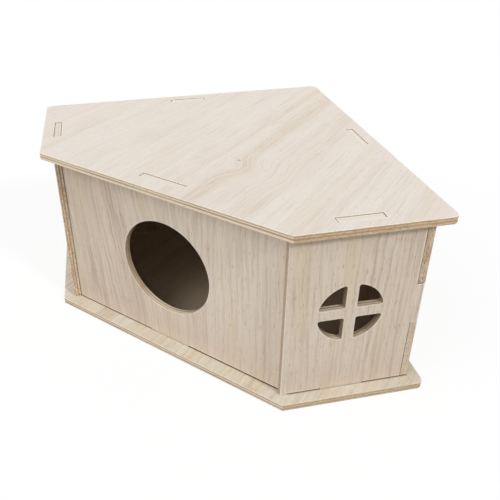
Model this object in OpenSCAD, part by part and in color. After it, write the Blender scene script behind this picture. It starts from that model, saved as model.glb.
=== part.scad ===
// Corner hideout for a small animal, in slotted plywood sheets.
// Five walls stand on a floor board by their tabs, and a roof board of the same outline
// lifts off their top tabs. The back corner points along +Y and the entrance faces -Y.
// The origin is under the middle of the floor board.

/* [Boards] */
// Length of each of the two back edges of a board, measured to the sharp corners
board_leg = 250; // [230:1:300]
// Length of each of the two side edges of a board
board_side = 103; // [90:1:130]
// Radius of the three right-angled corners of a board
corner_r = 5; // [1:0.5:8]
// How far the boards stand out past the back and side walls
overhang = 9; // [6:0.5:12]
// How far the boards stand out past the front ends of the side walls
front_overhang = 7; // [5:0.5:10]

/* [Walls] */
// Thickness of every sheet
sheet = 5; // [4:0.5:6]
// Height of the walls between the two boards
wall_h = 129; // [110:1:160]
// How far the front wall stands behind the inner edges of the side walls' ends
front_setback = 0.7; // [0.2:0.1:3]

/* [Joinery] */
// Length of the tabs on the side and back walls
tab_len = 30; // [20:1:40]
// Length of the tabs on the front wall
front_tab_len = 36; // [25:1:50]
// How far the end of a tab lies below the face of its board
tab_recess = 0.3; // [0:0.1:1]
// Height of the tooth in each back corner
tooth_h = 32; // [20:1:45]
// Gap on each side of a tab or tooth
fit_gap = 0.35; // [0.15:0.05:0.5]
// Gap between the foot of the walls and the floor board
foot_gap = 0.6; // [0.1:0.05:0.8]
// Gap between the top of the walls and the roof board
roof_gap = 0.4; // [0.1:0.05:0.5]

/* [Openings] */
// Diameter of the entrance
entrance_d = 76; // [60:1:90]
// Height of the entrance's centre above the foot of the wall
entrance_z = 64.5; // [50:0.5:75]
// Diameter of the window
window_d = 45; // [36:1:50]
// Height of the window's centre above the foot of the wall
window_z = 64.5; // [45:0.5:75]
// Width of the bars of the window's cross
bar_w = 8; // [6:0.5:12]
// Radius left by the cutter in the corners of a window light
light_r = 1.5; // [0.5:0.25:2]

/* [Hidden] */
$fn = 96;
// Extra length of a cutter past the face that it cuts
past = 1;

// Depth of the outline from its front edge to the sharp back corner, and to the rounded one
sharp_depth = (board_leg + board_side) / sqrt(2);
round_depth = sharp_depth - corner_r * (sqrt(2) - 1);
// Place of the sharp back corner, with the rounded outline centred on the origin
back_y = sharp_depth - round_depth / 2;

// Outer faces of the back walls and of the side walls, along either leg from the back corner
near = overhang;
far = board_leg - overhang;
// Lengths of the walls
back_len = far - near;
side_len = board_side - front_overhang * sqrt(2);
ends_apart = (back_len - side_len) * sqrt(2);
front_len = ends_apart - sqrt(2) * sheet + 2 * front_setback - 2 * fit_gap;
front_inset = sheet / sqrt(2) + front_setback;
// Middle of a side wall between its front end and the back wall's inner face
side_mid = (side_len - sheet) / 2;

wall_z = sheet + foot_gap;
roof_z = wall_z + wall_h + roof_gap;
foot_tab_h = foot_gap + sheet - tab_recess;
roof_tab_h = roof_gap + sheet - tab_recess;
joint_depth = sheet + fit_gap;
tooth_low = (wall_h - tooth_h) / 2;
tooth_high = (wall_h + tooth_h) / 2;

// Middle of the front wall's outer face along either leg, and half of the wall's run along a leg
front_mid = (near + side_len + far - sqrt(2) * front_inset) / 2;
front_run = front_len / (2 * sqrt(2));

// What is known of a wall in plan: where its outer face starts, its direction, its length,
// the length of its tabs and where their centre lies. Going round this way the inside is on the right.
START = 0;
TURN = 1;
LENGTH = 2;
TAB = 3;
TAB_AT = 4;
BACK_RIGHT = [[near, near], 90, back_len, tab_len, back_len / 2];
RIGHT = [[near, far], 0, side_len, tab_len, side_len - side_mid];
FRONT = [[front_mid - front_run, front_mid + front_run], -45, front_len, front_tab_len, front_len / 2];
LEFT = [[far, near + side_len], -90, side_len, tab_len, side_mid];
BACK_LEFT = [[far, near], 180, back_len, tab_len, back_len / 2];
WALLS = [BACK_RIGHT, RIGHT, FRONT, LEFT, BACK_LEFT];

// Turns the frame of the two legs, which meet at the back corner, so that the entrance faces -Y
module leg_frame() {
    translate([0, back_y, 0]) rotate(225) children();
}

// Stands a flat panel on the floor board, with its outer face on the line given for the wall
module stand(wall) {
    leg_frame()
        translate([wall[START].x, wall[START].y, wall_z])
            rotate([90, 0, wall[TURN]])
                linear_extrude(sheet) children();
}

// Outline of the floor and of the roof: a square with one corner cut off and the other three rounded
module board_outline() {
    edge = board_leg - corner_r;
    polygon([[corner_r, 0], [edge, 0], [board_leg, corner_r], [board_leg, board_side],
             [board_side, board_leg], [corner_r, board_leg], [0, edge], [0, corner_r]]);
    for (centre = [[corner_r, corner_r], [edge, corner_r], [corner_r, edge]])
        translate(centre) circle(corner_r);
}

// Slot in a board for the tab of one wall
module slot(wall) {
    translate(wall[START])
        rotate(wall[TURN])
            translate([wall[TAB_AT] - wall[TAB] / 2 - fit_gap, -sheet - fit_gap])
                square([wall[TAB] + 2 * fit_gap, sheet + 2 * fit_gap]);
}

// A whole board with its slots
module board() {
    leg_frame()
        linear_extrude(sheet)
            difference() {
                board_outline();
                for (wall = WALLS) slot(wall);
            }
}

// What is cut from the end of a panel: the room for the other wall's fingers, or for its tooth
module end_cut(kind) {
    if (kind == "tooth") {
        translate([-past, -past]) square([joint_depth + past, tooth_low + past]);
        translate([-past, tooth_high]) square([joint_depth + past, tooth_low + past]);
    }
    if (kind == "fingers")
        translate([-past, tooth_low - fit_gap])
            square([joint_depth + past, tooth_h + 2 * fit_gap]);
}

// Flat outline of a wall with its two tabs, and with its start and finish cut for the corner joints
module panel(wall, start, finish) {
    translate([wall[TAB_AT] - wall[TAB] / 2, -foot_tab_h])
        square([wall[TAB], foot_tab_h + wall_h + roof_tab_h]);
    difference() {
        square([wall[LENGTH], wall_h]);
        end_cut(start);
        translate([wall[LENGTH], 0]) mirror([1, 0]) end_cut(finish);
    }
}

// One light of the window: the quarter of the circle beside the bars, with its three corners rounded
module window_light() {
    radius = window_d / 2;
    bar = bar_w / 2;
    inner = bar + light_r;
    outer = sqrt(pow(radius - light_r, 2) - pow(inner, 2));
    // Carries the two slanting sides out past the circle
    reach = 2;
    intersection() {
        circle(radius);
        polygon([[inner, bar], [outer, bar], [outer, inner], [outer, inner] * reach,
                 [inner, outer] * reach, [inner, outer], [bar, outer], [bar, inner]]);
    }
    for (centre = [[inner, inner], [outer, inner], [inner, outer]])
        translate(centre) circle(light_r);
}

// Round window of four lights with a cross between them
module window_cut() {
    for (quarter = [0:3]) rotate(90 * quarter) window_light();
}

module floor_board() {
    color("burlywood") board();
}

module roof_board() {
    color("wheat") translate([0, 0, roof_z]) board();
}

module front_wall() {
    color("tan")
        stand(FRONT)
            difference() {
                panel(FRONT, "plain", "plain");
                translate([front_len / 2, entrance_z]) circle(d = entrance_d);
            }
}

module right_wall() {
    color("navajowhite")
        stand(RIGHT)
            difference() {
                panel(RIGHT, "tooth", "plain");
                translate([RIGHT[TAB_AT], window_z]) window_cut();
            }
}

module left_wall() {
    color("navajowhite") stand(LEFT) panel(LEFT, "plain", "tooth");
}

module back_right_wall() {
    color("bisque") stand(BACK_RIGHT) panel(BACK_RIGHT, "fingers", "fingers");
}

module back_left_wall() {
    color("bisque") stand(BACK_LEFT) panel(BACK_LEFT, "fingers", "tooth");
}

floor_board();
roof_board();
front_wall();
right_wall();
left_wall();
back_right_wall();
back_left_wall();
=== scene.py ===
"""Looks of the corner hideout: pale five-ply sheets, each with its own grain, on a white studio floor."""

import math
from collections import namedtuple

import bpy
from mathutils import Matrix, Vector

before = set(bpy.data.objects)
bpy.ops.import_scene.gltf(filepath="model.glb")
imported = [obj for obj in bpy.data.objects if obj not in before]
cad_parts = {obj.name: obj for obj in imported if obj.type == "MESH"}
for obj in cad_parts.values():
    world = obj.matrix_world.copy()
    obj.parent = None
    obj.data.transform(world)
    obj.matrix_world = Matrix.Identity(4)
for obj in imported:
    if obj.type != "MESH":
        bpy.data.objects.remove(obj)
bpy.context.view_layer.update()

MM_PER_M = 1000

# Camera, at the photograph's own viewpoint: metres, degrees and pixels
CAMERA_AT = (0.2185, -0.3723, 0.3145)
CAMERA_TURN = 34.50
CAMERA_DIP = 28.94
CAMERA_ROLL = -0.88
CAMERA_NEAR = 0.01
IMAGE_SIDE = 500
FOCAL_LENGTH = 575.4
OPTICAL_CENTRE = (210.1, 197.8)
SENSOR_MM = 36.0

# Light: strengths at which a level surface shows about its own colour
SKY_STRENGTH = 0.46
# A distant lamp: the direction that it shines from, turned from +X towards +Y and then raised, its
# strength, and how wide it looks; angles in degrees
Lamp = namedtuple("Lamp", "name turn rise strength spread")
LAMPS = (Lamp("key", -10, 39, 1.45, 10), Lamp("fill", -117, 42, 1.15, 48))
# Studio floor: its side and height in metres, the grey that lights the house from below, and the share of
# plain white in what the camera sees
FLOOR_SIDE = 30.0
FLOOR_Z = -0.0002
FLOOR_GREY = (0.40, 0.378, 0.35, 1.0)
FLOOR_LIFT = 0.88
WHITE = (1.0, 1.0, 1.0, 1.0)

# Eased edges of the sheets: their width in metres, and the angle from which an edge is sharp
EASE = 0.00018
EASE_SEGMENTS = 2
SHARP_FROM = math.radians(40)
# Vertices that are nearer than this, in metres, become one, and so do faces that turn by less than this
WELD_GAP = 0.000001
FLAT_WITHIN = math.radians(0.5)

SHEET_MM = 5.0
UP = Vector((0, 0, 1))
BACK = Vector((0, 1, 0))
# Farther in from the walls than any place in the house, in metres
FAR_IN = 1.0


def srgb(red, green, blue):
    """A colour written as 0 to 255, in the linear form that shaders take."""
    def linear(value):
        share = value / 255
        return share / 12.92 if share <= 0.04045 else ((share + 0.055) / 1.055) ** 2.4
    return (linear(red), linear(green), linear(blue), 1.0)


# Colours of one kind of sheet's faces, the spacing and sway of its lines in millimetres, how strongly its
# grain shows, and how strongly the pale line along its edges shows, which is partly wear and partly a
# painted highlight
Veneer = namedtuple("Veneer", "pale rosy warm line pore band spacing sway lines streaks fibres pores worn")
ROOF_VENEER = Veneer(pale=srgb(233, 225, 215), rosy=srgb(232, 222, 213), warm=srgb(230, 219, 205),
                     line=srgb(196, 178, 158), pore=srgb(172, 150, 128), band=srgb(216, 198, 176),
                     spacing=9.0, sway=1.2, lines=0.22, streaks=0.15, fibres=0.38, pores=0.5, worn=0.7)
FLOOR_VENEER = Veneer(pale=srgb(219, 210, 194), rosy=srgb(215, 205, 188), warm=srgb(212, 200, 175),
                      line=srgb(178, 160, 139), pore=srgb(134, 111, 88), band=srgb(194, 177, 156),
                      spacing=7.0, sway=1.2, lines=0.6, streaks=0.2, fibres=0.5, pores=0.9, worn=0.4)
WALL_VENEER = Veneer(pale=srgb(230, 217, 200), rosy=srgb(225, 210, 194), warm=srgb(223, 208, 184),
                     line=srgb(167, 145, 124), pore=srgb(126, 102, 83), band=srgb(200, 180, 162),
                     spacing=5.2, sway=2.4, lines=0.40, streaks=0.28, fibres=0.37, pores=0.8, worn=0.7)
# The front wall's colours are paler than the other walls': painted light that evens out the lamps, which
# light the window wall more than the front wall
FRONT_VENEER = Veneer(pale=srgb(242, 229, 212), rosy=srgb(237, 222, 206), warm=srgb(235, 220, 195),
                      line=srgb(176, 153, 131), pore=srgb(133, 108, 88), band=srgb(211, 190, 172),
                      spacing=5.2, sway=3.4, lines=0.36, streaks=0.26, fibres=0.33, pores=0.65, worn=1.0)
# What the inner faces of the walls keep of those colours: a darker, browner tint, painted shade of the
# inside of the house
BACK_SHADE_TINT = srgb(228, 214, 192)
# Pale line along the edges of the faces, partly wear and partly a painted highlight of the eased edges: its
# colour, its width in metres, how alike the eased and the true normals are where it starts and ends, and
# the least share of it that is left
WEAR_AND_HIGHLIGHT_TONE = srgb(255, 250, 242)
WEAR_AND_HIGHLIGHT_WIDTH = 0.0022
WEAR_AND_HIGHLIGHT_ALIKE = (0.86, 0.99)
WEAR_AND_HIGHLIGHT_LEAST = 0.6

# Colours of a sheet's edge where it is cut across its grain, and where it is cut along it or aslant;
# the lines between light and dark plies, in millimetres below the outer face; how stained it is, low down
# and high up, where the left wall's stronger stain low down is painted shade; and the colours of the ends
# of its tabs
Edge = namedtuple("Edge", "light dark")
Edges = namedtuple("Edges", "across along plies stains tab", defaults=(None,))
ROOF_EDGES = Edges(across=Edge(srgb(250, 234, 210), srgb(186, 166, 141)),
                   along=Edge(srgb(227, 202, 171), srgb(176, 150, 120)),
                   plies=(0.45, 1.15, 2.05, 3.2), stains=(0.5, 0.5))
FLOOR_EDGES = Edges(across=Edge(srgb(244, 229, 207), srgb(130, 112, 88)),
                    along=Edge(srgb(221, 206, 180), srgb(168, 148, 120)),
                    plies=(0.8, 1.35, 2.85, 3.7), stains=(0.5, 0.5))
WALL_EDGES = Edges(across=Edge(srgb(231, 214, 189), srgb(150, 128, 101)),
                   along=Edge(srgb(210, 191, 163), srgb(172, 149, 122)),
                   plies=(0.8, 1.35, 2.6, 3.4), stains=(0.5, 0.5),
                   tab=Edge(srgb(236, 227, 215), srgb(224, 213, 198)))
RIGHT_EDGES = WALL_EDGES._replace(across=Edge(srgb(252, 238, 214), srgb(172, 149, 118)),
                                  along=Edge(srgb(207, 189, 166), srgb(178, 158, 135)))
# Painted shade: the left wall's edges are stained more strongly low down
LEFT_EDGES = WALL_EDGES._replace(along=Edge(srgb(238, 221, 192), srgb(134, 112, 87)), stains=(0.95, 0.5),
                                 plies=(0.9, 1.3, 2.5, 3.4),
                                 tab=Edge(srgb(232, 221, 205), srgb(212, 199, 181)))
FINGER_EDGES = WALL_EDGES._replace(along=Edge(srgb(219, 203, 181), srgb(186, 166, 141)), plies=(),
                                   stains=(0.35, 1.0))
EDGE_SPECK = srgb(122, 98, 74)
# Stain of the edges, which is also painted shade low down on the left wall's edges
EDGE_STAIN_AND_SHADE = srgb(194, 157, 123)
EDGE_VOID = srgb(96, 74, 55)
# How far from the middle of a sheet its edges are stained as low down or as high up, which is partly
# painted shade, in millimetres
STAIN_AND_SHADE_APART = 20.0
# How strongly an edge is mottled and stained where it is cut along the grain, and where it is cut across it
MOTTLE_SHARES = (0.7, 0.15)
STAIN_SHARES = (0.7, 0.1)
# Waves in the borders of the plies: their sizes along the edge and through it, and their reach; half of a
# border's width, in millimetres too; and the least share of a dark ply that is left where it fades
PLY_WAVE = (4.0, 4.0, 1.2)
PLY_REACH = 0.3
PLY_BORDER = 0.09
PLY_LEAST = 0.65

# A kind of mark: the sizes of its patches across the grain and along it, in millimetres, the levels of
# noise between which it comes in, its size through the sheet, and how fine the noise is
Mark = namedtuple("Mark", "width length low high depth detail roughness", defaults=(1.0, 2.0, 0.5))
PALE_PATCH = Mark(20, 260, 0.35, 0.65)
WARM_PATCH = Mark(15, 190, 0.48, 0.75)
RAGGED_STRIPE = Mark(3, 70, 0.3, 0.62)
STREAK = Mark(2.2, 75, 0.46, 0.72)
FIBRE = Mark(0.8, 40, 0.52, 0.74, detail=3, roughness=0.6)
PORE = Mark(0.45, 7.0, 0.61, 0.75)
BROKEN_LINE = Mark(4, 22, 0.36, 0.64)
# Patches of the pale edge line, which is partly wear and partly a painted highlight
WEAR_AND_HIGHLIGHT_PATCH = Mark(9, 9, 0.35, 0.6, depth=9)
PLY_FADE = Mark(45, 45, 0.35, 0.65, depth=6.0)
MOTTLE = Mark(2.2, 2.2, 0.46, 0.68, depth=0.5, detail=3)
STAIN = Mark(9, 16, 0.36, 0.6, depth=2.5)
SPECK = Mark(1.2, 2.4, 0.56, 0.72, depth=0.6)
VOID = Mark(2.6, 2.6, 0.74, 0.8, depth=0.45, detail=1)

# How the grain wanders, in millimetres: the sizes of its slow and quick sways, the reach of the slow ones,
# and the size of its drift. The reach of the drift is counted in lines
SLOW_SWAY = (60, 150)
SLOW_REACH = 7.0
QUICK_SWAY = (8, 18)
DRIFT = (18, 420)
DRIFT_REACH = 2.2
# Where in its spacing a line swells, and where it stops; how unlike the lines are; and the share of a line
# that is left where it is broken
LINE_SWELLS = (0.1, 0.85)
LINE_STOPS = (0.88, 1.0)
LINES_UNLIKE = 1.6
LINE_LEAST = 0.2
# The depth of a fibre, in depths of a line or a pore
FIBRE_DEPTH = 0.8

# A stripe along the grain, of the veneer's band colour or its own: where it starts, is strongest and ends,
# in millimetres across the grain
Stripe = namedtuple("Stripe", "start full end strength tone", defaults=(None,))
# The least share of a stripe where it is ragged, and how much more strongly the grain shows in it
STRIPE_LEAST = 0.35
STRIPE_RICHER = 1.9
# Grain that leans, most of all at one place across the sheet, and less past some way from there
Lean = namedtuple("Lean", "at slope")
LEAN_FADES = (10.0, 60.0)
# Grain that swings aside as it passes a knot: the place, how far it swings and how much length that takes
Swing = namedtuple("Swing", "across along reach length")
# Where across the knot the swing goes over from one side to the other, the share of it on the far side, and
# how far from the knot it fades, in millimetres
SWING_SIDES = (-14.0, 8.0)
SWING_FAR = -0.2
SWING_FADES = (12.0, 60.0)
# A small dark spot, in millimetres from the middle of the sheet; its core and rim are shares of its radius
Spot = namedtuple("Spot", "across along radius")
SPOT_TONE = srgb(160, 134, 112)
SPOT_STRENGTH = 0.7
SPOT_CORE = 0.4
SPOT_RIM = 1.4

# Widths over which the masks below come in, in millimetres
FINE_FADE = 0.3
COARSE_FADE = 1.0
# Dark faces of the tabs and joints, and paler ones of the boards' slots, which show only in their gaps:
# painted shade there. The dark one is also the floor's painted shadow where its joint with the front wall
# gapes
JOINT_TONE = srgb(76, 57, 39)
SLOT_TONE = srgb(186, 163, 138)
# How far outside the walls a board's own cut edges begin, in millimetres
SLOT_REACH = 4.0
# Browner, plainer tone of the floor inside the house, painted shade of its dim inside, and its share
INSIDE_SHADE_TONE = srgb(222, 194, 156)
INSIDE_SHARE = 0.5
# Painted shade on the floor along the foot of the walls: its colour, its share beside them, and where it
# comes in beside and under them, in millimetres inside their outer faces
FLOOR_FOOT_SHADE_TONE = srgb(132, 120, 98)
BESIDE_SHARE = 0.5
BESIDE_WALL = (-1.0, -0.5)
UNDER_WALL = (-0.35, -0.05)
# Where across the floor its joint with the front wall begins and ends to gape, in millimetres
GAPE_FROM = 17.0
GAPE_TO = 97.0
# How much darker and browner the foot of a wall is painted, as painted shade, and the heights above the
# wall's middle between which that fades, in millimetres
WALL_FOOT_SHADE = 0.3
WALL_FOOT_SHADE_FADES = (-62.0, -22.0)
# What the cut faces of the window keep of the edge's colours, a darker tint that is painted shade in its
# recess, and how far from its middle they lie
WINDOW_SHADE_TINT = srgb(216, 213, 208)
WINDOW_REACH = 30.0
# How far from an end of a wall its corner joint begins and ends, and how high above the wall's middle it
# reaches, in millimetres
JOINT_FROM = 5.9
JOINT_TO = 0.4
JOINT_RISE = 60.0
# Height above the wall's middle past which only its tabs are found, in millimetres
TAB_RISE = 65.2

# How squarely a normal looks along the grain on an edge cut across it, and out of the sheet on a face
CUT_ACROSS = (0.75, 0.92)
ON_FACE = (0.6, 0.8)
# Relief of the wood in metres, its roughness low and high in the relief, and its sheen
BUMP_STRENGTH = 0.5
BUMP_DEPTH = 0.00012
RELIEF = (0.3, 1.0)
ROUGHNESS = (0.74, 0.62)
SHEEN = 0.2

# One sheet: the way its outer face looks, the way its grain runs, its colours, a number for its pattern,
# and what its grain does
Sheet = namedtuple("Sheet", "out grain veneer edges pattern stripes lean swing spots")
# Steps through the noise from one sheet to the next, from a sheet's outer face to its inner one, and from
# some marks of a face to others
PATTERN_STEP = 37.0
FACE_STEP = 11.0
MARK_STEP = 9.0


def facing(degrees):
    """Level direction, turned from +X towards +Y."""
    angle = math.radians(degrees)
    return Vector((math.cos(angle), math.sin(angle), 0))


def board(veneer, edges, pattern, stripes, swing=None, spots=()):
    """A level sheet, with its grain running back."""
    return Sheet(UP, BACK, veneer, edges, pattern, stripes, None, swing, spots)


def wall(degrees, veneer, edges, pattern, stripes, lean=None):
    """An upright sheet, with its outer face looking the given way and its grain running up."""
    return Sheet(facing(degrees), UP, veneer, edges, pattern, stripes, lean, None, ())


SHEETS = {
    "roof_board": board(ROOF_VENEER, ROOF_EDGES, 1,
                        (Stripe(16, 30, 38, 0.55), Stripe(4, 9, 14, 0.25), Stripe(50, 64, 76, 0.25)),
                        Swing(26.4, -66, 9, 22), (Spot(26.4, -55.7, 1.1), Spot(138.8, -90.7, 1.0))),
    # The floor's pale stripe at its left end is painted light, which lifts the shadow that the house throws
    # on that edge of the floor
    "floor_board": board(FLOOR_VENEER, FLOOR_EDGES, 2,
                         (Stripe(-75, -60, -50, 0.5), Stripe(-290, -122, -98, 1.0, srgb(244, 229, 219)))),
    "front_wall": wall(-90, FRONT_VENEER, WALL_EDGES, 3,
                       (Stripe(-55, -39, -20, 0.5), Stripe(-130, -80, -30, 0.35)), Lean(-37, -0.16)),
    "right_wall": wall(-45, WALL_VENEER, RIGHT_EDGES, 4, (Stripe(26, 33, 38, 0.35),)),
    "left_wall": wall(-135, WALL_VENEER, LEFT_EDGES, 5, (Stripe(2, 12, 19, 0.5),), Lean(12, 0.05)),
    "back_right_wall": wall(45, WALL_VENEER, FINGER_EDGES, 6, (Stripe(-60, -50, -40, 0.5),),
                            Lean(-50, 0.04)),
    "back_left_wall": wall(135, WALL_VENEER, FINGER_EDGES, 7, (Stripe(28, 38, 46, 0.5),),
                           Lean(38, -0.06)),
}


class Graph:
    """Node tree of a material or a world. Most methods add a node and return the socket that it gives."""

    def __init__(self, owner):
        owner.use_nodes = True
        self.owner = owner
        self.tree = owner.node_tree
        self.tree.nodes.clear()

    def add(self, kind, inputs, output=0, **settings):
        node = self.tree.nodes.new("ShaderNode" + kind)
        for key, value in settings.items():
            setattr(node, key, value)
        for key, value in inputs.items():
            if isinstance(value, bpy.types.NodeSocket):
                self.tree.links.new(value, node.inputs[key])
            else:
                node.inputs[key].default_value = value
        return node.outputs[output]

    def show(self, surface, kind="OutputMaterial"):
        node = self.tree.nodes.new("ShaderNode" + kind)
        self.tree.links.new(surface, node.inputs["Surface"])
        return self.owner

    def math(self, operation, *values):
        return self.add("Math", dict(enumerate(values)), operation=operation)

    def plus(self, first, second):
        return self.math("ADD", first, second)

    def minus(self, first, second):
        return self.math("SUBTRACT", first, second)

    def times(self, first, second):
        return self.math("MULTIPLY", first, second)

    def size(self, value):
        return self.math("ABSOLUTE", value)

    def step(self, value, low, high, to_low=0.0, to_high=1.0):
        return self.add("MapRange", {0: value, 1: low, 2: high, 3: to_low, 4: to_high},
                        interpolation_type="SMOOTHSTEP")

    def blend(self, factor, first, second, mode="MIX"):
        return self.add("Mix", {0: factor, 6: first, 7: second}, 2, data_type="RGBA", blend_type=mode)

    def noise(self, point, width, length, depth=1.0, detail=2.0, roughness=0.5):
        """Noise from 0 to 1, in patches of about the given sizes."""
        place = self.add("VectorMath", {0: point, 1: (1 / width, 1 / length, 1 / depth)},
                         operation="MULTIPLY")
        return self.add("TexNoise", {"Vector": place, "Scale": 1.0, "Detail": detail,
                                     "Roughness": roughness})

    def swing(self, point, width, length, reach):
        """Noise either side of nothing, up to about half of the given reach."""
        return self.times(self.minus(self.noise(point, width, length, detail=1), 0.5), reach)

    def marks(self, point, mark, strongest=1.0, weakest=0.0):
        """How strongly one kind of mark shows at each place."""
        noise = self.noise(point, mark.width, mark.length, mark.depth, mark.detail, mark.roughness)
        return self.step(noise, mark.low, mark.high, weakest, strongest)

    def parts(self, vector):
        node = self.tree.nodes.new("ShaderNodeSeparateXYZ")
        self.tree.links.new(vector, node.inputs[0])
        return node.outputs[0], node.outputs[1], node.outputs[2]

    def point(self, *values):
        return self.add("CombineXYZ", dict(enumerate(values)))


# A place on a sheet: across and along its grain from its middle, and below its outer face, in millimetres;
# the same as a point of the noise; 1 or 0 for the sheet's inner half, a cut across the grain and a face;
# how far it lies inside the walls, for a board; and half of the sheet's width
Place = namedtuple("Place", "across along depth wood inner cut_across on_face inward half_width")


def sheet_frame(node, sheet):
    """Turn and origin of a sheet's own frame: across the grain, along it, and out of the outer face.
    Also gives half of the sheet's width across the grain, in millimetres."""
    across = sheet.grain.cross(sheet.out)
    turn = Matrix((across, sheet.grain, sheet.out))
    places = [turn @ vertex.co for vertex in node.data.vertices]
    low = [min(place[axis] for place in places) for axis in range(3)]
    high = [max(place[axis] for place in places) for axis in range(3)]
    origin = Vector(((low[0] + high[0]) / 2, (low[1] + high[1]) / 2, high[2]))
    return turn, origin, (high[0] - low[0]) / 2 * MM_PER_M


def inward_place(graph, position):
    """How far a place lies inside the walls' outer faces, in millimetres."""
    inward = FAR_IN
    for name, sheet in SHEETS.items():
        if sheet.out != UP:
            _, origin, _ = sheet_frame(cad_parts[name], sheet)
            reach = graph.add("VectorMath", {0: position, 1: sheet.out}, 1, operation="DOT_PRODUCT")
            inward = graph.math("MINIMUM", inward, graph.minus(origin.z, reach))
    return graph.times(inward, MM_PER_M)


def sheet_place(graph, node, sheet):
    """The place that is being shaded, in the sheet's own frame."""
    turn, origin, half_width = sheet_frame(node, sheet)
    coords = graph.tree.nodes.new("ShaderNodeTexCoord")
    position = coords.outputs["Object"]
    point = graph.add("Mapping", {"Vector": position, "Location": -origin * MM_PER_M,
                                  "Rotation": turn.to_euler(), "Scale": (MM_PER_M,) * 3})
    normal = graph.add("Mapping", {"Vector": coords.outputs["Normal"], "Rotation": turn.to_euler()},
                       vector_type="NORMAL")
    across, along, out = graph.parts(point)
    _, normal_along, normal_out = graph.parts(normal)
    depth = graph.times(out, -1.0)
    return Place(across, along, depth,
                 wood=graph.point(across, along, graph.plus(depth, PATTERN_STEP * sheet.pattern)),
                 inner=graph.math("GREATER_THAN", depth, SHEET_MM / 2),
                 cut_across=graph.step(graph.size(normal_along), *CUT_ACROSS),
                 on_face=graph.step(graph.size(normal_out), *ON_FACE),
                 inward=inward_place(graph, position) if sheet.out == UP else None,
                 half_width=half_width)


def swing_aside(graph, across, along, swing):
    """Moves the grain aside where it passes a knot, far on one side and less on the other."""
    off = graph.minus(across, swing.across)
    side = graph.step(off, *SWING_SIDES, SWING_FAR, 1.0)
    near = graph.step(graph.size(graph.minus(along, swing.along)), 0.0, swing.length, 1.0, 0.0)
    fade = graph.step(graph.size(off), *SWING_FADES, swing.reach, 0.0)
    return graph.minus(across, graph.times(graph.times(side, near), fade))


def grain_place(graph, across, along, layer, sheet):
    """Place across the grain, after its lean, its swing and its sway."""
    place = across
    if sheet.lean:
        off = graph.size(graph.minus(across, sheet.lean.at))
        slope = graph.step(off, *LEAN_FADES, sheet.lean.slope, 0.0)
        place = graph.minus(place, graph.times(along, slope))
    if sheet.swing:
        place = swing_aside(graph, place, along, sheet.swing)
    raw = graph.point(place, along, layer)
    place = graph.plus(place, graph.swing(raw, *SLOW_SWAY, SLOW_REACH))
    return graph.plus(place, graph.swing(raw, *QUICK_SWAY, sheet.veneer.sway))


def grain_lines(graph, place, other, layer, veneer):
    """Strength of the uneven lines of a face, each of which swells slowly and stops sharply."""
    drift = graph.times(graph.noise(other, *DRIFT), DRIFT_REACH)
    count = graph.plus(graph.math("DIVIDE", place, veneer.spacing), drift)
    phase = graph.math("FRACT", count)
    swell = graph.times(graph.step(phase, *LINE_SWELLS), graph.step(phase, *LINE_STOPS, 1.0, 0.0))
    number = graph.plus(graph.math("FLOOR", count), layer)
    chance = graph.add("TexWhiteNoise", {"W": number}, noise_dimensions="1D")
    own = graph.math("POWER", chance, LINES_UNLIKE)
    broken = graph.marks(other, BROKEN_LINE, veneer.lines, LINE_LEAST * veneer.lines)
    return graph.times(graph.times(swell, own), broken)


def veneer_colour(graph, across, along, layer, sheet):
    """Colour of a face and its height, from places in millimetres across and along the grain."""
    veneer = sheet.veneer
    place = grain_place(graph, across, along, layer, sheet)
    point = graph.point(place, along, layer)
    other = graph.point(place, along, graph.plus(layer, MARK_STEP))

    colour = graph.blend(graph.marks(point, PALE_PATCH), veneer.rosy, veneer.pale)
    colour = graph.blend(graph.marks(other, WARM_PATCH), colour, veneer.warm)
    ragged = graph.marks(point, RAGGED_STRIPE, weakest=STRIPE_LEAST)
    richer = 1.0
    for stripe in sheet.stripes:
        shade = graph.times(graph.step(place, stripe.start, stripe.full),
                            graph.step(place, stripe.full, stripe.end, stripe.strength, 0.0))
        colour = graph.blend(graph.times(shade, ragged), colour, stripe.tone or veneer.band)
        if not stripe.tone:
            richer = graph.math("MULTIPLY_ADD", shade, STRIPE_RICHER, richer)

    line = grain_lines(graph, place, other, layer, veneer)
    streak = graph.marks(point, STREAK, veneer.streaks)
    fibre = graph.marks(point, FIBRE, veneer.fibres)
    pore = graph.marks(other, PORE, veneer.pores)
    for mark in (line, graph.times(streak, richer), graph.times(fibre, richer)):
        colour = graph.blend(mark, colour, veneer.line)
    colour = graph.blend(pore, colour, veneer.pore)
    height = graph.minus(1.0, graph.plus(graph.times(fibre, FIBRE_DEPTH), graph.plus(pore, line)))
    return colour, height


def wear_and_highlight_mask(graph, place):
    """1 here and there along a sheet's edges, for the pale line of wear and painted highlight, else 0."""
    eased = graph.add("Bevel", {"Radius": WEAR_AND_HIGHLIGHT_WIDTH})
    straight = graph.tree.nodes.new("ShaderNodeNewGeometry").outputs["Normal"]
    alike = graph.add("VectorMath", {0: eased, 1: straight}, 1, operation="DOT_PRODUCT")
    uneven = graph.marks(place.wood, WEAR_AND_HIGHLIGHT_PATCH, weakest=WEAR_AND_HIGHLIGHT_LEAST)
    return graph.times(graph.step(alike, *WEAR_AND_HIGHLIGHT_ALIKE, 1.0, 0.0), uneven)


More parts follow.
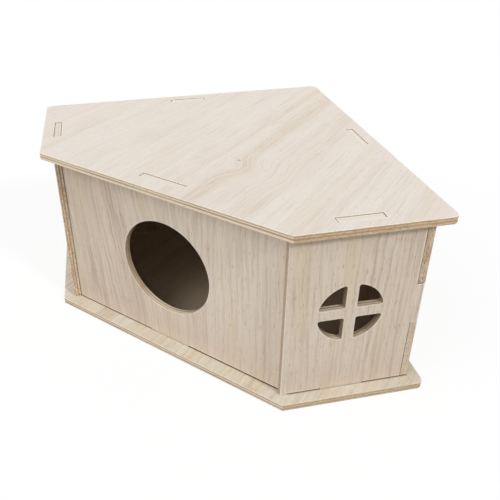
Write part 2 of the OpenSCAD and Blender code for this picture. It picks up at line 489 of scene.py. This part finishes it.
def face_look(graph, place, sheet):
    """Colour and height of a sheet's two faces. A wall's get painted shade: browner at the foot and on the
    inside.
    """
    layer = graph.math("MULTIPLY_ADD", place.inner, FACE_STEP, PATTERN_STEP * sheet.pattern)
    colour, height = veneer_colour(graph, place.across, place.along, layer, sheet)
    if sheet.out != UP:
        # Painted shade: the foot of each wall is darker and browner
        wall_foot_shade = graph.step(place.along, *WALL_FOOT_SHADE_FADES, WALL_FOOT_SHADE, 0.0)
        colour = graph.blend(wall_foot_shade, colour, sheet.veneer.band)
        # Painted shade: the walls' inner faces are darker and browner
        colour = graph.blend(place.inner, colour, BACK_SHADE_TINT, "MULTIPLY")
    # Pale line along the edges: partly wear, partly a painted highlight
    worn = graph.times(wear_and_highlight_mask(graph, place), sheet.veneer.worn)
    return graph.blend(worn, colour, WEAR_AND_HIGHLIGHT_TONE), height


def ply_share(graph, place, plies):
    """How strongly the dark plies of an edge show, with wavy borders and faded here and there."""
    wave = graph.minus(graph.noise(place.wood, *PLY_WAVE), 0.5)
    wavy = graph.plus(place.depth, graph.times(wave, PLY_REACH))
    dark = 0.0
    for number, line in enumerate(plies):
        border = graph.step(wavy, line - PLY_BORDER, line + PLY_BORDER)
        dark = graph.math("ADD" if number % 2 == 0 else "SUBTRACT", dark, border)
    return graph.times(dark, graph.marks(place.wood, PLY_FADE, weakest=PLY_LEAST))


def edge_colour(graph, place, edges):
    """Colour of a cut edge and its height: five plies, mottled where cut along, with small dark voids."""
    across = place.cut_across
    light = graph.blend(across, edges.along.light, edges.across.light)
    dark = graph.blend(across, edges.along.dark, edges.across.dark)
    void = graph.marks(place.wood, VOID)
    if edges.tab:
        tab_end = graph.math("GREATER_THAN", graph.size(place.along), TAB_RISE)
        light = graph.blend(tab_end, light, edges.tab.light)
        dark = graph.blend(tab_end, dark, edges.tab.dark)
        void = graph.times(void, graph.minus(1.0, tab_end))
    colour = graph.blend(ply_share(graph, place, edges.plies), light, dark)
    mottle = graph.times(graph.marks(place.wood, MOTTLE), graph.step(across, 0.0, 1.0, *MOTTLE_SHARES))
    colour = graph.blend(mottle, colour, dark)
    # Stain by height, which on the left wall's edges is painted shade low down
    stain_and_shade_share = graph.step(place.along, -STAIN_AND_SHADE_APART, STAIN_AND_SHADE_APART, *edges.stains)
    stain_and_shade = graph.times(graph.marks(place.wood, STAIN), stain_and_shade_share)
    stain_and_shade = graph.times(stain_and_shade, graph.step(across, 0.0, 1.0, *STAIN_SHARES))
    colour = graph.blend(stain_and_shade, colour, EDGE_STAIN_AND_SHADE)
    speck = graph.times(graph.marks(place.wood, SPECK), graph.times(stain_and_shade_share, graph.minus(1.0, across)))
    colour = graph.blend(speck, colour, EDGE_SPECK)
    colour = graph.blend(void, colour, EDGE_VOID)
    return colour, graph.minus(1.0, graph.plus(mottle, void))


def joint_mask(graph, place):
    """1 on the cut faces that meet in a corner joint of two walls and on the sides of tabs, else 0."""
    side = graph.size(place.across)
    rise = graph.size(place.along)
    start, end = place.half_width - JOINT_FROM, place.half_width - JOINT_TO
    from_end = graph.step(side, start, start + FINE_FADE)
    to_end = graph.step(side, end - FINE_FADE, end, 1.0, 0.0)
    corner = graph.times(graph.times(from_end, to_end), graph.math("LESS_THAN", rise, JOINT_RISE))
    tab_side = graph.times(graph.math("GREATER_THAN", rise, TAB_RISE), graph.minus(1.0, place.cut_across))
    return graph.math("MAXIMUM", corner, tab_side)


def window_mask(graph, place):
    """1 near the middle of a sheet, where its window is, and 0 elsewhere."""
    reach = graph.math("MAXIMUM", graph.size(place.across), graph.size(place.along))
    return graph.math("LESS_THAN", reach, WINDOW_REACH)


def edge_look(graph, place, sheet, has_window):
    """Colour and height of a sheet's cut edges, with those of its joints, slots and window."""
    colour, height = edge_colour(graph, place, sheet.edges)
    if sheet.out == UP:
        # Painted shade in the slots' gaps: their faces take a tone of their own
        slot = graph.step(place.inward, -SLOT_REACH, COARSE_FADE - SLOT_REACH)
        colour = graph.blend(slot, colour, SLOT_TONE)
    else:
        # Painted shade in the gaps of the corner joints and beside the tabs
        colour = graph.blend(joint_mask(graph, place), colour, JOINT_TONE)
    if has_window:
        # Painted shade: the window's cut faces are darker
        colour = graph.blend(window_mask(graph, place), colour, WINDOW_SHADE_TINT, "MULTIPLY")
    return colour, height


def spot_mask(graph, place, spots):
    """1 in the middle of each of a sheet's dark spots, and 0 away from them."""
    mask = 0.0
    for spot in spots:
        off = graph.point(graph.minus(place.across, spot.across), graph.minus(place.along, spot.along), 0.0)
        distance = graph.add("VectorMath", {0: off}, 1, operation="LENGTH")
        here = graph.step(distance, spot.radius * SPOT_CORE, spot.radius * SPOT_RIM, 1.0, 0.0)
        mask = graph.math("MAXIMUM", mask, here)
    return mask


def shade_floor(graph, place, colour):
    """Painted shade on the floor: plainer and browner inside, dark under the walls, darkest where a joint
    gapes.
    """
    top = graph.minus(1.0, place.inner)
    inside = graph.step(place.inward, SHEET_MM / 2, SHEET_MM / 2 + FINE_FADE)
    under = graph.minus(graph.step(place.inward, *UNDER_WALL), inside)
    beside = graph.minus(graph.step(place.inward, *BESIDE_WALL), inside)
    gape = graph.minus(graph.step(place.across, GAPE_FROM, GAPE_FROM + COARSE_FADE),
                       graph.step(place.across, GAPE_TO, GAPE_TO + COARSE_FADE))
    # Painted shade: the floor inside the house is browner and plainer
    colour = graph.blend(graph.times(graph.times(inside, top), INSIDE_SHARE), colour, INSIDE_SHADE_TONE)
    # Painted shade: a dark strip on the floor beside and under the walls, darkest where a joint gapes
    colour = graph.blend(graph.times(graph.times(beside, top), BESIDE_SHARE), colour, FLOOR_FOOT_SHADE_TONE)
    tone = graph.blend(gape, FLOOR_FOOT_SHADE_TONE, JOINT_TONE)
    return graph.blend(graph.times(under, top), colour, tone)


def plywood(name, node, sheet):
    """Material of one sheet: veneer on its two faces and five plies on its edges."""
    graph = Graph(bpy.data.materials.new(name + "_plywood"))
    place = sheet_place(graph, node, sheet)
    face, face_height = face_look(graph, place, sheet)
    edge, edge_height = edge_look(graph, place, sheet, has_window=name == "right_wall")
    colour = graph.blend(place.on_face, edge, face)
    if sheet.spots:
        mask = spot_mask(graph, place, sheet.spots)
        colour = graph.blend(graph.times(mask, SPOT_STRENGTH), colour, SPOT_TONE)
    if name == "floor_board":
        colour = shade_floor(graph, place, colour)
    height = graph.add("Mix", {0: place.on_face, 2: edge_height, 3: face_height}, data_type="FLOAT")
    bump = graph.add("Bump", {"Strength": BUMP_STRENGTH, "Distance": BUMP_DEPTH, "Height": height})
    rough = graph.step(height, *RELIEF, *ROUGHNESS)
    shader = graph.add("BsdfPrincipled", {"Base Color": colour, "Roughness": rough, "Normal": bump,
                                          "Specular IOR Level": SHEEN})
    return graph.show(shader)


def ease_edges(node):
    """Takes the sharpness off a sheet's edges, as sanding does."""
    weld = node.modifiers.new("weld", "WELD")
    weld.merge_threshold = WELD_GAP
    flat = node.modifiers.new("flat", "DECIMATE")
    flat.decimate_type = "DISSOLVE"
    flat.angle_limit = FLAT_WITHIN
    bevel = node.modifiers.new("ease", "BEVEL")
    bevel.width = EASE
    bevel.segments = EASE_SEGMENTS
    bevel.limit_method = "ANGLE"
    bevel.angle_limit = SHARP_FROM
    bevel.harden_normals = True


def dress_sheets():
    """Gives every sheet its plywood and its eased edges."""
    for name, sheet in SHEETS.items():
        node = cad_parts[name]
        node.data.materials.clear()
        node.data.materials.append(plywood(name, node, sheet))
        ease_edges(node)


def seen_directly(graph):
    """1 for what the camera sees, straight or in a reflection or through glass."""
    path = graph.tree.nodes.new("ShaderNodeLightPath")
    seen = graph.plus(path.outputs["Is Camera Ray"], path.outputs["Is Glossy Ray"])
    return graph.math("MINIMUM", graph.plus(seen, path.outputs["Is Transmission Ray"]), 1.0)


def make_floor():
    """White studio floor, which keeps a soft shadow."""
    mesh = bpy.data.meshes.new("studio_floor")
    half = FLOOR_SIDE / 2
    mesh.from_pydata([(-half, -half, FLOOR_Z), (half, -half, FLOOR_Z), (half, half, FLOOR_Z),
                      (-half, half, FLOOR_Z)], [], [(0, 1, 2, 3)])
    floor = bpy.data.objects.new("studio_floor", mesh)
    bpy.context.scene.collection.objects.link(floor)
    graph = Graph(bpy.data.materials.new("studio_white"))
    seen = seen_directly(graph)
    lit = graph.add("BsdfDiffuse", {"Color": graph.blend(seen, FLOOR_GREY, WHITE)})
    white = graph.add("Emission", {"Color": WHITE, "Strength": 1.0})
    lift = graph.times(seen, FLOOR_LIFT)
    mesh.materials.append(graph.show(graph.add("MixShader", {0: lift, 1: lit, 2: white})))


def make_sky():
    """Even soft light from all round, seen as plain white."""
    graph = Graph(bpy.data.worlds.new("studio"))
    soft = graph.add("Background", {"Color": WHITE, "Strength": SKY_STRENGTH})
    white = graph.add("Background", {"Color": WHITE, "Strength": 1.0})
    both = graph.add("MixShader", {0: seen_directly(graph), 1: soft, 2: white})
    bpy.context.scene.world = graph.show(both, "OutputWorld")


def make_lamps():
    """A lamp on the right, which throws the roof's narrow shadow on the window wall, and a softer one
    in front."""
    for lamp in LAMPS:
        light = bpy.data.lights.new(lamp.name, "SUN")
        light.energy = lamp.strength
        light.angle = math.radians(lamp.spread)
        place = facing(lamp.turn) + UP * math.tan(math.radians(lamp.rise))
        holder = bpy.data.objects.new(lamp.name, light)
        holder.location = place
        holder.rotation_euler = (-place).to_track_quat("-Z", "Y").to_euler()
        bpy.context.scene.collection.objects.link(holder)


def make_camera():
    """Camera at the photograph's viewpoint, with its framing."""
    lens = bpy.data.cameras.new("camera")
    lens.sensor_width = SENSOR_MM
    lens.lens = SENSOR_MM * FOCAL_LENGTH / IMAGE_SIDE
    lens.shift_x = (IMAGE_SIDE / 2 - OPTICAL_CENTRE[0]) / IMAGE_SIDE
    lens.shift_y = (OPTICAL_CENTRE[1] - IMAGE_SIDE / 2) / IMAGE_SIDE
    lens.clip_start = CAMERA_NEAR
    camera = bpy.data.objects.new("camera", lens)
    camera.location = CAMERA_AT
    turn = Matrix.Rotation(math.radians(CAMERA_TURN), 3, "Z")
    dip = Matrix.Rotation(math.radians(90 - CAMERA_DIP), 3, "X")
    roll = Matrix.Rotation(math.radians(CAMERA_ROLL), 3, "Z")
    camera.rotation_euler = (turn @ dip @ roll).to_euler()
    bpy.context.scene.collection.objects.link(camera)
    bpy.context.scene.camera = camera


dress_sheets()
make_floor()
make_sky()
make_lamps()
make_camera()
bpy.context.scene.view_settings.view_transform = "Standard"
